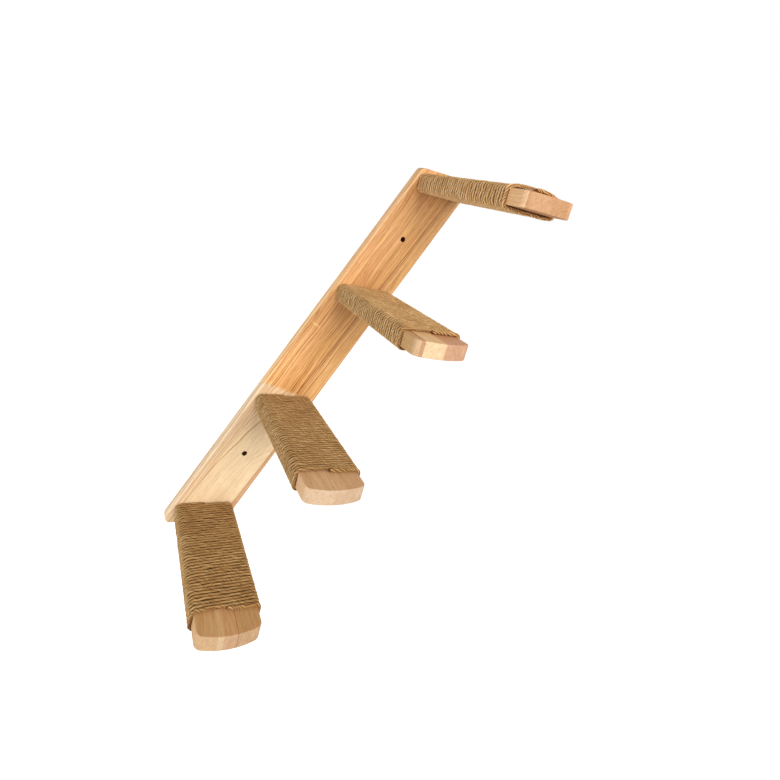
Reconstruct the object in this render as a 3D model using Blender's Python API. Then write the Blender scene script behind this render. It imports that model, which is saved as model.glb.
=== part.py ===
"""Cat climbing steps: a slanted board that hangs on a wall and carries four treads wound with jute rope.

The wall is the plane y = 0, +Z is up and +X is to the right, so the steps stand out towards -Y.
The origin is the middle of the board's back face. Treads are numbered from the bottom.
"""
import math

import bmesh
import bpy
import numpy as np
from mathutils import Matrix, Vector

# Driving dimensions, in metres.
STEPS = 4
LEAN = math.radians(25)            # how far the board leans from upright, to the right
RISE = 0.207                       # height from one tread to the next
TOP_MARGIN = 0.024                 # from the top tread's centre to the board's upper end
BOTTOM_MARGIN = 0.024              # from the bottom tread's centre to the board's lower end

BOARD_WIDTH = 0.100                # square across the board
BOARD_THICKNESS = 0.018
BOARD_CORNER_RADIUS = 0.010
BOARD_FRONT_ROUND = 0.0025         # sanded round of the front edges
BOARD_BACK_CHAMFER = 0.0008        # eased edge against the wall

WALL_HOLE_DIAMETER = 0.009
WALL_HOLE_ABOVE_TREAD = 0.108      # height of a wall hole over the tread below it
WALL_HOLE_TREADS = (1, 3)          # the treads that have a wall hole above them

TREAD_WIDTH = 0.085
TREAD_THICKNESS = 0.022
TREAD_LENGTH = 0.255               # from the board's face to the middle of the tip
TREAD_EDGE_RADIUS = 0.004
TIP_ARC_RADIUS = 0.115             # the tip's gentle curve, seen from above
TIP_CORNER_RADIUS = 0.011

ROPE_THICKNESS = 0.005
ROPE_WOUND_LENGTH = 0.2195         # length of tread that the rope covers, from the board's face
ROPE_TURNS = 23                    # the real rope makes 41, so each turn here is as wide as its share
ROPE_TURN_GAP = 0.0005             # left between neighbouring turns
ROPE_CREST = 0.5                   # width of a turn's crest, as a share of its foot

BOLT_SPACING = 0.050               # between the two bolts of a tread
BOLT_DIAMETER = 0.0059             # M6, over its thread
BOLT_LENGTH = 0.040
BOLT_HEAD_DIAMETER = 0.012
BOLT_HEAD_RECESS = 0.0005          # how deep the head sits below the board's back
BOLT_SOCKET_SIZE = 0.004           # hexagon socket, across flats
BOLT_SOCKET_DEPTH = 0.0022
BOLT_TIP_CHAMFER = 0.0008
BOLT_TIP_ROOM = 0.003              # drilled beyond the bolt's tip

INSERT_DIAMETER = 0.010
INSERT_LENGTH = 0.015
INSERT_RIB_DEPTH = 0.0006          # depth of the grooves between its ribs
INSERT_RIBS = 2

CLEARANCE = 0.0003                 # between pieces that touch
CUT_PAST = 0.001                   # how far a cutter runs past a face
HOLE_SIDES = 24
FASTENER_SIDES = 18                # a multiple of six, for the hexagon socket
ARC_STEPS = 6
TIP_STEPS = 14
BEVEL_STEPS = 4

COLOURS = {
    "board": ((0.66, 0.41, 0.20), 0.50),
    "tread": ((0.70, 0.47, 0.25), 0.50),
    "rope": ((0.37, 0.24, 0.11), 0.90),
    "bolt": ((0.35, 0.35, 0.36), 0.35),
    "insert": ((0.55, 0.52, 0.45), 0.40),
}
METALS = ("bolt", "insert")
UPRIGHT = (math.radians(90), 0, 0)  # stands a piece's own Z out of the wall, towards -Y


def clear_scene():
    for thing in list(bpy.data.objects):
        bpy.data.objects.remove(thing, do_unlink=True)


def material(name, kind):
    colour, roughness = COLOURS[kind]
    made = bpy.data.materials.new(name)
    made.use_nodes = True
    shader = made.node_tree.nodes["Principled BSDF"]
    shader.inputs["Base Color"].default_value = (*colour, 1)
    shader.inputs["Roughness"].default_value = roughness
    shader.inputs["Metallic"].default_value = 1.0 if kind in METALS else 0.0
    return made


def to_mesh(name, shape):
    """Turns a bmesh into a mesh whose faces all point outwards."""
    bmesh.ops.recalc_face_normals(shape, faces=shape.faces)
    mesh = bpy.data.meshes.new(name)
    shape.to_mesh(mesh)
    shape.free()
    return mesh


def add(name, mesh, kind, location=(0, 0, 0), rotation=(0, 0, 0)):
    """Adds a piece with its own copy of the mesh and its own material."""
    piece = bpy.data.objects.new(name, mesh.copy())
    piece.location = location
    piece.rotation_euler = rotation
    piece.data.materials.append(material(name + "_finish", kind))
    piece.data.shade_smooth()
    piece.data.set_sharp_from_angle(angle=math.radians(35))
    bpy.context.collection.objects.link(piece)
    return piece


def cut(piece, mesh):
    """Takes a cutter out of a piece. The cutter is placed in the piece's own frame."""
    cutter = bpy.data.objects.new(piece.name + "_cutter", mesh)
    cutter.parent = piece
    cutter.hide_render = True
    cutter.display_type = "WIRE"
    bpy.context.collection.objects.link(cutter)
    modifier = piece.modifiers.new("holes", "BOOLEAN")
    modifier.operation = "DIFFERENCE"
    modifier.solver = "EXACT"
    modifier.object = cutter


def tread_height(number):
    """Height of a tread's centre. The treads stand RISE apart, and the board's middle is at z = 0."""
    lowest = -(RISE * (STEPS - 1) + TOP_MARGIN + BOTTOM_MARGIN) / 2 + BOTTOM_MARGIN
    return lowest + RISE * (number - 1)


def on_centre_line(height):
    """The board's centre line leans, so a point at this height lies this far to the right."""
    return height * math.tan(LEAN)


def arc(centre, radius, start, end, steps):
    """Points on an arc, from one angle to the other."""
    angles = [start + (end - start) * step / steps for step in range(steps + 1)]
    return [(centre[0] + radius * math.cos(angle), centre[1] + radius * math.sin(angle)) for angle in angles]


def rounded_outline(corners, radius, steps):
    """Outline through corners in anticlockwise order, each rounded by an arc that touches both sides."""
    points = []
    for index, corner in enumerate(corners):
        here = Vector(corner)
        back = (Vector(corners[index - 1]) - here).normalized()
        ahead = (Vector(corners[(index + 1) % len(corners)]) - here).normalized()
        half = back.angle(ahead) / 2
        centre = here + (back + ahead).normalized() * radius / math.sin(half)
        start = here + back * radius / math.tan(half) - centre
        first = math.atan2(start.y, start.x)
        points += arc(centre, radius, first, first + math.pi - 2 * half, steps)
    return points


def plate(outline, low, high):
    """An outline in the XY plane, extruded from z = low to z = high."""
    shape = bmesh.new()
    face = shape.faces.new([shape.verts.new((x, y, low)) for x, y in outline])
    made = bmesh.ops.extrude_face_region(shape, geom=[face])["geom"]
    top = [item for item in made if isinstance(item, bmesh.types.BMVert)]
    bmesh.ops.translate(shape, verts=top, vec=(0, 0, high - low))
    bmesh.ops.recalc_face_normals(shape, faces=shape.faces)
    return shape


def rim(shape, height, skip_back=False):
    """The edges round a plate's flat face at this height, if wanted without those on its back end."""
    found = []
    for edge in shape.edges:
        if all(abs(vert.co.z - height) < 1e-6 for vert in edge.verts):
            side = min(edge.link_faces, key=lambda face: abs(face.normal.z))
            if not (skip_back and side.normal.y > 0.99):
                found.append(edge)
    return found


def turned(rings, sides, hole=False):
    """A solid of rings round the Z axis, each a height and a radius, which may depend on the angle.

    With a hole, the last ring joins the first, and otherwise both ends are closed by a face.
    """
    shape = bmesh.new()
    circles = []
    for height, radius in rings:
        circle = []
        for side in range(sides):
            angle = 2 * math.pi * side / sides
            reach = radius(angle) if callable(radius) else radius
            circle.append(shape.verts.new((reach * math.cos(angle), reach * math.sin(angle), height)))
        circles.append(circle)
    pairs = list(zip(circles, circles[1:]))
    if hole:
        pairs.append((circles[-1], circles[0]))
    else:
        shape.faces.new(circles[0])
        shape.faces.new(circles[-1])
    for first, second in pairs:
        for side in range(sides):
            after = (side + 1) % sides
            shape.faces.new((first[side], first[after], second[after], second[side]))
    return shape


def hexagon(across_flats):
    """Radius of a hexagon as a function of the angle, with a corner at zero."""
    def radius(angle):
        return across_flats / 2 / math.cos(angle % (math.pi / 3) - math.pi / 6)
    return radius


def joined(name, parts):
    """One mesh from several turned shapes, each moved to a place in the XY plane."""
    whole = bmesh.new()
    for shape, (x, y) in parts:
        bmesh.ops.translate(shape, verts=shape.verts, vec=(x, y, 0))
        piece = to_mesh(name, shape)
        whole.from_mesh(piece)
        bpy.data.meshes.remove(piece)
    return to_mesh(name, whole)


def bolt_places():
    """Name, number of the tread and place on the wall of every bolt."""
    for number in range(1, STEPS + 1):
        height = tread_height(number)
        for side, way in (("left", -1), ("right", 1)):
            yield f"{number}_{side}", number, (on_centre_line(height) + way * BOLT_SPACING / 2, height)


def backboard():
    """The slanted board: a parallelogram with level ends, round front edges and its drilled holes."""
    half_chord = BOARD_WIDTH / math.cos(LEAN) / 2
    top = tread_height(STEPS) + TOP_MARGIN
    bottom = tread_height(1) - BOTTOM_MARGIN
    corners = [(on_centre_line(height) + way * half_chord, height)
               for height, way in ((bottom, -1), (bottom, 1), (top, 1), (top, -1))]
    shape = plate(rounded_outline(corners, BOARD_CORNER_RADIUS, ARC_STEPS), 0, BOARD_THICKNESS)
    bmesh.ops.bevel(shape, geom=rim(shape, BOARD_THICKNESS), offset=BOARD_FRONT_ROUND,
                    segments=BEVEL_STEPS, profile=0.5, affect="EDGES")
    bmesh.ops.bevel(shape, geom=rim(shape, 0), offset=BOARD_BACK_CHAMFER, segments=1, affect="EDGES")
    piece = add("backboard", to_mesh("backboard", shape), "board", rotation=UPRIGHT)

    head = BOLT_HEAD_DIAMETER / 2 + CLEARANCE * math.sqrt(2)
    shank = BOLT_DIAMETER / 2 + CLEARANCE
    past = BOARD_THICKNESS + CUT_PAST
    bolt_hole = [(-CUT_PAST, head), (BOLT_HEAD_RECESS, head), (BOLT_HEAD_RECESS + head - shank, shank), (past, shank)]
    wall_hole = [(-CUT_PAST, WALL_HOLE_DIAMETER / 2), (past, WALL_HOLE_DIAMETER / 2)]
    holes = [(turned(bolt_hole, HOLE_SIDES), place) for _, _, place in bolt_places()]
    for number in WALL_HOLE_TREADS:
        height = tread_height(number) + WALL_HOLE_ABOVE_TREAD
        holes.append((turned(wall_hole, HOLE_SIDES), (on_centre_line(height), height)))
    cut(piece, joined("board_holes", holes))


def tip_outline():
    """A tread seen from above, anticlockwise, with its length along -Y.

    The tip is a wide arc, and an arc of the corner radius lies inside it and touches it and each side.
    """
    half = TREAD_WIDTH / 2
    corner_x = half - TIP_CORNER_RADIUS
    centre_y = TIP_ARC_RADIUS - TREAD_LENGTH
    corner_y = centre_y - math.sqrt((TIP_ARC_RADIUS - TIP_CORNER_RADIUS) ** 2 - corner_x ** 2)
    meet = math.atan2(centre_y - corner_y, corner_x)
    left = arc((-corner_x, corner_y), TIP_CORNER_RADIUS, math.pi, math.pi + meet, ARC_STEPS)
    front = arc((0, centre_y), TIP_ARC_RADIUS, math.pi + meet, 2 * math.pi - meet, TIP_STEPS)
    right = arc((corner_x, corner_y), TIP_CORNER_RADIUS, 2 * math.pi - meet, 2 * math.pi, ARC_STEPS)
    return [(half, -CLEARANCE), (-half, -CLEARANCE), *left[:-1], *front, *right[1:]]


def tread_place(number):
    """Middle of the tread's root, on the board's face."""
    height = tread_height(number)
    return on_centre_line(height), -BOARD_THICKNESS, height


def tread(number):
    """A solid tread with round edges and two stepped holes in its back end, for the inserts and bolts."""
    shape = plate(tip_outline(), -TREAD_THICKNESS / 2, TREAD_THICKNESS / 2)
    edges = rim(shape, -TREAD_THICKNESS / 2, True) + rim(shape, TREAD_THICKNESS / 2, True)
    bmesh.ops.bevel(shape, geom=edges, offset=TREAD_EDGE_RADIUS, segments=BEVEL_STEPS, profile=0.5, affect="EDGES")
    piece = add(f"tread_{number}", to_mesh("tread", shape), "tread", tread_place(number))

    pocket = INSERT_DIAMETER / 2 + CLEARANCE
    shank = BOLT_DIAMETER / 2 + CLEARANCE
    pocket_end = CLEARANCE + INSERT_LENGTH + 2 * CLEARANCE
    bolt_end = BOLT_HEAD_RECESS + BOLT_LENGTH - BOARD_THICKNESS + BOLT_TIP_ROOM
    hole = [(-CUT_PAST, pocket), (pocket_end, pocket), (pocket_end, shank), (bolt_end, shank)]
    places = [(way * BOLT_SPACING / 2, 0) for way in (-1, 1)]
    mesh = joined("tread_holes", [(turned(hole, HOLE_SIDES), place) for place in places])
    mesh.transform(Matrix.Rotation(UPRIGHT[0], 4, "X"))
    cut(piece, mesh)


def bolt_mesh():
    """A countersunk bolt with a hexagon socket, its head against the wall and its tip along +Z."""
    head = BOLT_HEAD_DIAMETER / 2
    shank = BOLT_DIAMETER / 2
    top = BOLT_HEAD_RECESS
    tip = top + BOLT_LENGTH
    socket = hexagon(BOLT_SOCKET_SIZE)
    rings = [(top + BOLT_SOCKET_DEPTH, socket), (top, socket), (top, head), (top + head - shank, shank),
             (tip - BOLT_TIP_CHAMFER, shank), (tip, shank - BOLT_TIP_CHAMFER)]
    return to_mesh("bolt", turned(rings, FASTENER_SIDES))


def insert_mesh():
    """A threaded sleeve whose outside has ribs that bite into the end grain. Its bore clears the bolt."""
    outer = INSERT_DIAMETER / 2
    groove = outer - INSERT_RIB_DEPTH
    bore = BOLT_DIAMETER / 2 + CLEARANCE
    start = BOARD_THICKNESS + 2 * CLEARANCE
    rib = INSERT_LENGTH / (2 * INSERT_RIBS + 1)
    rings = [(start, bore), (start, outer)]
    for index in range(INSERT_RIBS):
        low = start + rib * (2 * index + 1)
        rings += [(low, outer), (low + INSERT_RIB_DEPTH, groove),
                  (low + rib - INSERT_RIB_DEPTH, groove), (low + rib, outer)]
    rings += [(start + INSERT_LENGTH, outer), (start + INSERT_LENGTH, bore)]
    return to_mesh("insert", turned(rings, FASTENER_SIDES, hole=True))


def rope_loop():
    """One turn of the rope's foot round a tread's section, from the middle of the top towards the left.

    Each row is x, z and the outward direction. A corner has three points, and its middle one lies where
    the flats on both sides of it still clear the wood's round edge.
    """
    corner_x = TREAD_WIDTH / 2 - TREAD_EDGE_RADIUS
    corner_z = TREAD_THICKNESS / 2 - TREAD_EDGE_RADIUS
    reach = TREAD_EDGE_RADIUS + CLEARANCE
    eighth = math.pi / 4
    rows = []
    for corner, (way_x, way_z) in enumerate(((-1, 1), (-1, -1), (1, -1), (1, 1))):
        for point in range(3):
            angle = math.pi / 2 * (corner + 1) + eighth * point
            radius = reach / math.cos(eighth / 2) if point == 1 else reach
            rows.append((way_x * corner_x + radius * math.cos(angle), way_z * corner_z + radius * math.sin(angle),
                         math.cos(angle), math.sin(angle)))
    return np.array(rows)


def rope_route():
    """Foot of the whole winding, from the board to the tip: points and their outward directions.

    The rope moves along the tread in proportion to its length, one pitch in each turn.
    """
    loop = rope_loop()
    middle = np.array([[0, TREAD_THICKNESS / 2 + CLEARANCE, 0, 1]])
    rows = np.concatenate([middle, *[loop] * ROPE_TURNS, middle])
    steps = np.hypot(*np.diff(rows[:, :2], axis=0).T)
    travelled = np.concatenate([[0], np.cumsum(steps)])
    pitch = (ROPE_WOUND_LENGTH - CLEARANCE + ROPE_TURN_GAP) / (ROPE_TURNS + 1)
    foot = pitch - ROPE_TURN_GAP
    along = CLEARANCE + foot / 2 + pitch * ROPE_TURNS * travelled / travelled[-1]
    points = np.column_stack([rows[:, 0], -along, rows[:, 1]])
    outward = np.column_stack([rows[:, 2], np.zeros(len(rows)), rows[:, 3]])
    return points, outward, foot


def rope_mesh():
    """One unbroken tube along the route, with a foot, two leaning sides and a crest, closed at both ends."""
    points, outward, foot = rope_route()
    along = np.array([0, 1, 0])
    section = ((-foot / 2, 0), (foot / 2, 0), (foot / 2 * ROPE_CREST, ROPE_THICKNESS),
               (-foot / 2 * ROPE_CREST, ROPE_THICKNESS))
    places = [[point + out * up + along * side for side, up in section] for point, out in zip(points, outward)]
    shape = bmesh.new()
    rings = [[shape.verts.new(place) for place in ring] for ring in places]
    for first, second in zip(rings, rings[1:]):
        for side in range(len(section)):
            after = (side + 1) % len(section)
            shape.faces.new((first[side], first[after], second[after], second[side]))
    shape.faces.new(rings[0])
    shape.faces.new(rings[-1])
    report_least_gap(np.array(places))
    return to_mesh("rope_wrap", shape)


def report_least_gap(rings):
    """Prints the least distance between points of the tube that lie more than half a turn apart."""
    half_turn = (len(rings) - 2) // ROPE_TURNS // 2
    least = min(np.linalg.norm(rings[index][:, None, None] - rings[None, index + half_turn:], axis=-1).min()
                for index in range(len(rings) - half_turn))
    print(f"rope: {ROPE_TURNS} turns, least gap to itself {least * 1000:.2f} mm")


def build():
    clear_scene()
    backboard()
    rope = rope_mesh()
    for number in range(1, STEPS + 1):
        tread(number)
        add(f"rope_wrap_{number}", rope, "rope", tread_place(number))
    bolt, insert = bolt_mesh(), insert_mesh()
    for name, _, (x, height) in bolt_places():
        add(f"bolt_{name}", bolt, "bolt", (x, 0, height), UPRIGHT)
        add(f"insert_{name}", insert, "insert", (x, 0, height), UPRIGHT)


build()
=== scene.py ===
# %% [markdown]
# # Cat climbing steps
# A leaning board hangs on a wall and carries four level treads wound with jute rope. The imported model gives
# every piece its real size and place. This file makes the finished look around it: smooth sanded wood, real
# rope turns, steel fasteners, a camera where the picture was taken from and plain studio light. The wall is
# the plane y = 0, +Z is up, and the treads stand out towards -Y.

# %% Load the frame
import math

import bmesh
import bpy
import numpy as np
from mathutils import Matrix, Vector, geometry


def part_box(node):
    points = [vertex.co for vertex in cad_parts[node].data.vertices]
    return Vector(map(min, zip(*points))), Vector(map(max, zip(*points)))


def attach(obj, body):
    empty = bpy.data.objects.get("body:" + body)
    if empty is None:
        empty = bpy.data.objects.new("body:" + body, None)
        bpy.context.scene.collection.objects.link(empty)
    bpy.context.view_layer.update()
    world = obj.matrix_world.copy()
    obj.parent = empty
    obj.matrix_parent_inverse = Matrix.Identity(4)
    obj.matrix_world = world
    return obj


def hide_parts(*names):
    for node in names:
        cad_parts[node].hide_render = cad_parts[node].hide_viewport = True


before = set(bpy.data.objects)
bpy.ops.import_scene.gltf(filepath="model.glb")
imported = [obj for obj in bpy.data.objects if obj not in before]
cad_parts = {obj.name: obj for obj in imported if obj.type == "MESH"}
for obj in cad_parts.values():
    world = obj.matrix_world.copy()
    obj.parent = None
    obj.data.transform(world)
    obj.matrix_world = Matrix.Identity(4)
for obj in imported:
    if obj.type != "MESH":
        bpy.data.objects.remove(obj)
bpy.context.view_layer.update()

MM = 0.001

# %% [markdown]
# ## Camera
# The picture was taken close by, a little above the middle and to the left, with a wide lens, so the treads
# spread like a fan. The place, the angles and the lens were solved from the outlines of the board and the
# treads. The picture's middle isn't the lens's middle, because it was cropped, and a small shift puts that
# right.

# %% Camera
CAMERA_PLACE = (-0.3399, -0.74025, 0.26417)
CAMERA_ANGLES = (77.218, -14.078, -24.009)
FILM_WIDTH = 36
LENS_LENGTH = 22.502
PICTURE_SHIFT = (0.0513, -0.1103)


def add_object(name, data):
    """A new object in the scene, for a mesh, a lamp or a camera."""
    made = bpy.data.objects.new(name, data)
    bpy.context.scene.collection.objects.link(made)
    return made


camera = add_object("camera", bpy.data.cameras.new("camera"))
camera.location = CAMERA_PLACE
camera.rotation_euler = [math.radians(angle) for angle in CAMERA_ANGLES]
camera.data.sensor_width = FILM_WIDTH
camera.data.lens = LENS_LENGTH
camera.data.shift_x, camera.data.shift_y = PICTURE_SHIFT
camera.data.clip_start = 10 * MM
bpy.context.scene.camera = camera
print("lens in mm:", round(camera.data.lens, 2))

# %% [markdown]
# ## Nodes and colours
# Every finish below is a small graph of shader nodes. Building it node by node by hand takes many lines that
# look alike, so one function adds a node of any kind with its settings and links. Colours are written as
# they look on a screen, and one more function turns them into the linear light that the nodes work in.

# %% Nodes and colours
def feed(tree, node, inputs):
    """Gives inputs, by name or in their order, numbers or links. A node stands for its first output."""
    for key, value in inputs.items() if isinstance(inputs, dict) else enumerate(inputs):
        source = value.outputs[0] if isinstance(value, bpy.types.Node) else value
        if isinstance(source, bpy.types.NodeSocket):
            tree.links.new(source, node.inputs[key])
        else:
            node.inputs[key].default_value = source


def add_node(tree, kind, inputs=None, stops=None, stepped=False, **settings):
    """Adds a shader node of a kind with its properties and inputs. A colour ramp takes stops."""
    made = tree.nodes.new("ShaderNode" + kind)
    for key, value in settings.items():
        setattr(made, key, value)
    if stops:
        made.color_ramp.interpolation = "CONSTANT" if stepped else "LINEAR"
        while len(made.color_ramp.elements) < len(stops):
            made.color_ramp.elements.new(0.5)
        for element, (place, colour) in zip(made.color_ramp.elements, stops):
            element.position = place
            element.color = colour
    feed(tree, made, inputs or {})
    return made


def new_material(name):
    """A new material, its nodes and the shader that its finish feeds."""
    made = bpy.data.materials.new(name)
    made.use_nodes = True
    return made, made.node_tree, made.node_tree.nodes["Principled BSDF"]


def hex_colour(code):
    """An sRGB colour such as #c8a574 as linear red, green, blue and alpha.

    A channel over 0.04045 is raised to the power 2.4 after it is shifted by 0.055, and a darker one is
    divided by 12.92.
    """
    parts = [int(code[place:place + 2], 16) / 255 for place in (1, 3, 5)]
    return (*[part / 12.92 if part <= 0.04045 else ((part + 0.055) / 1.055) ** 2.4 for part in parts], 1)


print("mid jute in linear light:", [round(part, 3) for part in hex_colour("#c8a574")])

# %% [markdown]
# ## Light
# A picture for a shop is lit softly, from the front and a little above, so the fronts are the brightest
# faces and each tread leaves a soft shadow about 120 mm long on the board under it. One wide lamp in front
# and slightly to the right does most of the work. A weaker, cooler one skims in from the lower left, and the
# world adds a strong even glow. Camera rays see a white world, which lights nothing. A white card and more
# light would bleach the wood.

# %% World
GLOW = 0.42
GLOW_COLOUR = (1, 0.985, 0.96, 1)
WHITE = (1, 1, 1, 1)

world = bpy.data.worlds.new("studio")
bpy.context.scene.world = world
world.use_nodes = True
tree = world.node_tree
tree.nodes.clear()
path = add_node(tree, "LightPath")
seen = add_node(tree, "Math", [path.outputs["Is Camera Ray"], path.outputs["Is Glossy Ray"]],
                operation="MAXIMUM")
seen = add_node(tree, "Math", [seen, path.outputs["Is Transmission Ray"]], operation="MAXIMUM")
lit = add_node(tree, "Background", {"Color": GLOW_COLOUR, "Strength": GLOW})
white = add_node(tree, "Background", {"Color": WHITE, "Strength": 1.0})
mixed = add_node(tree, "MixShader", [seen, lit, white])
add_node(tree, "OutputWorld", {"Surface": mixed})
bpy.context.scene.view_settings.view_transform = "Standard"
print("strength of the glow:", GLOW)

# %% Lamps
def lamp(name, place, aim, width, power):
    """A square soft lamp that looks at a point."""
    made = add_object(name, bpy.data.lights.new(name, "AREA"))
    made.data.size = width
    made.data.energy = power
    made.location = place
    made.rotation_euler = (Vector(aim) - Vector(place)).to_track_quat("-Z", "Y").to_euler()
    return made


key = lamp("key_lamp", place=(0.5, -2.45, 1.08), aim=(0, -0.1, -0.05), width=1.8, power=70)
fill = lamp("fill_lamp", place=(-1.9, -0.5, -0.45), aim=(0, -0.15, -0.2), width=1.0, power=25)
fill.data.color = (0.9, 1.0, 1.15)
print("lamps:", key.name, fill.name)

# %% [markdown]
# ## Floor
# The steps hang well over the floor. It is pale and plain, and camera rays get a little light of its own
# added, so it reads as white paper and still keeps a trace of shadow. A stronger lamp would make it white
# too, but it would wash out the wood as well.

# %% Floor
FLOOR_DROP = 1.2
FLOOR_HALF = 60.0
PAPER_GLOW = 0.75

sheet = bpy.data.meshes.new("floor")
corners = [(x * FLOOR_HALF, y * FLOOR_HALF, -FLOOR_DROP) for x, y in ((-1, -1), (1, -1), (1, 1), (-1, 1))]
sheet.from_pydata(corners, [], [(0, 1, 2, 3)])
floor = add_object("floor", sheet)
paper, tree, _ = new_material("white studio paper")
tree.nodes.clear()
path = add_node(tree, "LightPath")
matt = add_node(tree, "BsdfDiffuse", {"Color": hex_colour("#e8e8e8")})
glow = add_node(tree, "Emission", {"Color": WHITE, "Strength": PAPER_GLOW})
both = add_node(tree, "AddShader", [matt, glow])
mixed = add_node(tree, "MixShader", [path.outputs["Is Camera Ray"], matt, both])
add_node(tree, "OutputMaterial", {"Surface": mixed})
sheet.materials.append(paper)
print("floor is", FLOOR_DROP, "m under the middle of the board")

# %% [markdown]
# ## How a wooden piece is made
# A sanded plate is a stack of rings. Each ring is the plate's outline, drawn in a little where the edge is
# round, and the two flat faces are filled between the outline and any holes. A Bevel modifier on the plain
# solid could round it too, but one bevel has one width, and it tears at the rims of drilled holes. Rings
# worked out as arrays give each edge its own radius, with the same size and place.

# %% Arcs and rounded edges
FACE_RING = 1.15


def arc(centre, radius, start, end, points):
    """Points on a circle: the centre plus the radius times the cosine and sine of an evenly stepped angle."""
    angle = np.linspace(start, end, points)
    return np.column_stack([centre[0] + radius * np.cos(angle), centre[1] + radius * np.sin(angle)])


def rounded_edge(steps):
    """Rings of an edge of radius 1, from flat face to side: the ways in and down, and the share of side.

    While an angle falls from a quarter turn to nothing, the way in is one less its cosine, the way down is
    one less its sine, and the share of side is its cosine. One ring before these lies further in on the flat
    face, which keeps the face's shading flat.
    """
    angles = np.linspace(0, math.pi / 2, steps)[::-1]
    return [(FACE_RING, 0.0, 0.0), *[(1 - math.cos(a), 1 - math.sin(a), math.cos(a)) for a in angles]]


print("rings of an edge:", len(rounded_edge(7)))

# %% Plates from rings
SHARP_ANGLE = math.radians(40)


def band_faces(numbers):
    """Quads that join each ring to the next one, from a grid of point numbers, with a row for each ring."""
    beside = np.roll(numbers, -1, axis=1)
    return np.stack([numbers[:-1], beside[:-1], beside[1:], numbers[1:]], -1).reshape(-1, 4)


def plate(name, stacks):
    """A closed solid from its outline's stack of rings and one more stack for each hole.

    A stack is an array of rings, points and coordinates. Its rings are joined by quads, and the first rings
    of all stacks bound one flat face, as the last ones bound the other.
    """
    counts = [stack.shape[0] * stack.shape[1] for stack in stacks]
    numbers = np.split(np.arange(sum(counts)), np.cumsum(counts)[:-1])
    grids = [part.reshape(stack.shape[:2]) for part, stack in zip(numbers, stacks)]
    faces = np.concatenate([band_faces(grid) for grid in grids]).tolist()
    for level in (0, -1):
        bounds = np.concatenate([grid[level] for grid in grids])
        filled = geometry.tessellate_polygon([[Vector(point) for point in stack[level]] for stack in stacks])
        faces += bounds[np.array(filled)].tolist()
    mesh = bpy.data.meshes.new(name)
    mesh.from_pydata(np.concatenate([stack.reshape(-1, 3) for stack in stacks]), [], faces)
    shape = bmesh.new()
    shape.from_mesh(mesh)
    bmesh.ops.recalc_face_normals(shape, faces=shape.faces)
    shape.to_mesh(mesh)
    shape.free()
    mesh.shade_smooth()
    mesh.set_sharp_from_angle(angle=SHARP_ANGLE)
    piece = add_object(name, mesh)
    weights = piece.modifiers.new("even shading", "WEIGHTED_NORMAL")
    weights.keep_sharp = True
    return piece


def mark(mesh, name, values, kind="FLOAT", field="value"):
    """Stores a number, or a vector, for each point of a mesh under a name that a finish can read."""
    mesh.attributes.new(name, kind, "POINT").data.foreach_set(field, values.astype(np.float32).ravel())


print("quads between two rings of four points:", len(band_faces(np.arange(8).reshape(2, 4))))

# %% [markdown]
# ## The treads
# A tread is a plank 85 mm wide and 22 mm thick. Its tip is a shallow curve, as a band saw and a disc sander
# leave it, with small round corners, and its long edges are rounded over so that they don't cut the rope or
# a paw. The edge is rounder under the rope than on the bare tip. A radius that changes along an edge is hard
# to get with a modifier, and here it is one number for each point of the outline.

# %% Outline of a tread
TREADS = (1, 2, 3, 4)
TIP_ARC = 115 * MM
TIP_CORNER = 11 * MM
TIP_POINTS = 40
CORNER_POINTS = 14
ROUNDER_PART = 200 * MM
FINER_PART = 214 * MM


def tread_outline(half, root, tip):
    """A tread seen from above and its outward directions: two straight sides, and three arcs round the tip.

    The middle arc and the corner arcs touch where their centres lie in line. An outward direction on an arc
    is the cosine and sine of the angle there.
    """
    centre_y = tip + TIP_ARC
    corner_x = half - TIP_CORNER
    corner_y = centre_y - math.sqrt((TIP_ARC - TIP_CORNER) ** 2 - corner_x ** 2)
    meet = math.atan2(centre_y - corner_y, corner_x)
    arcs = [((-corner_x, corner_y), TIP_CORNER, math.pi, math.pi + meet, CORNER_POINTS),
            ((0, centre_y), TIP_ARC, math.pi + meet, 2 * math.pi - meet, TIP_POINTS),
            ((corner_x, corner_y), TIP_CORNER, 2 * math.pi - meet, 2 * math.pi, CORNER_POINTS)]
    left, middle, right = [arc(*part) for part in arcs]
    ways = [arc((0, 0), 1, *part[2:]) for part in arcs]
    side = [(half, root), (half, root - ROUNDER_PART), (half, root - FINER_PART)]
    points = np.concatenate([side[::-1], [(-x, y) for x, y in side], left[:-1], middle, right[1:]])
    outward = np.concatenate([[(1, 0)] * 3, [(-1, 0)] * 3, ways[0][:-1], ways[1], ways[2][1:]])
    return points, outward


low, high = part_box("tread_1")
print("points of a tread's outline:", len(tread_outline((high.x - low.x) / 2, high.y, low.y)[0]))

# %% Treads
TREAD_EDGE = 4 * MM
TIP_EDGE = 1.3 * MM
TREAD_EDGE_STEPS = 8


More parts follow.
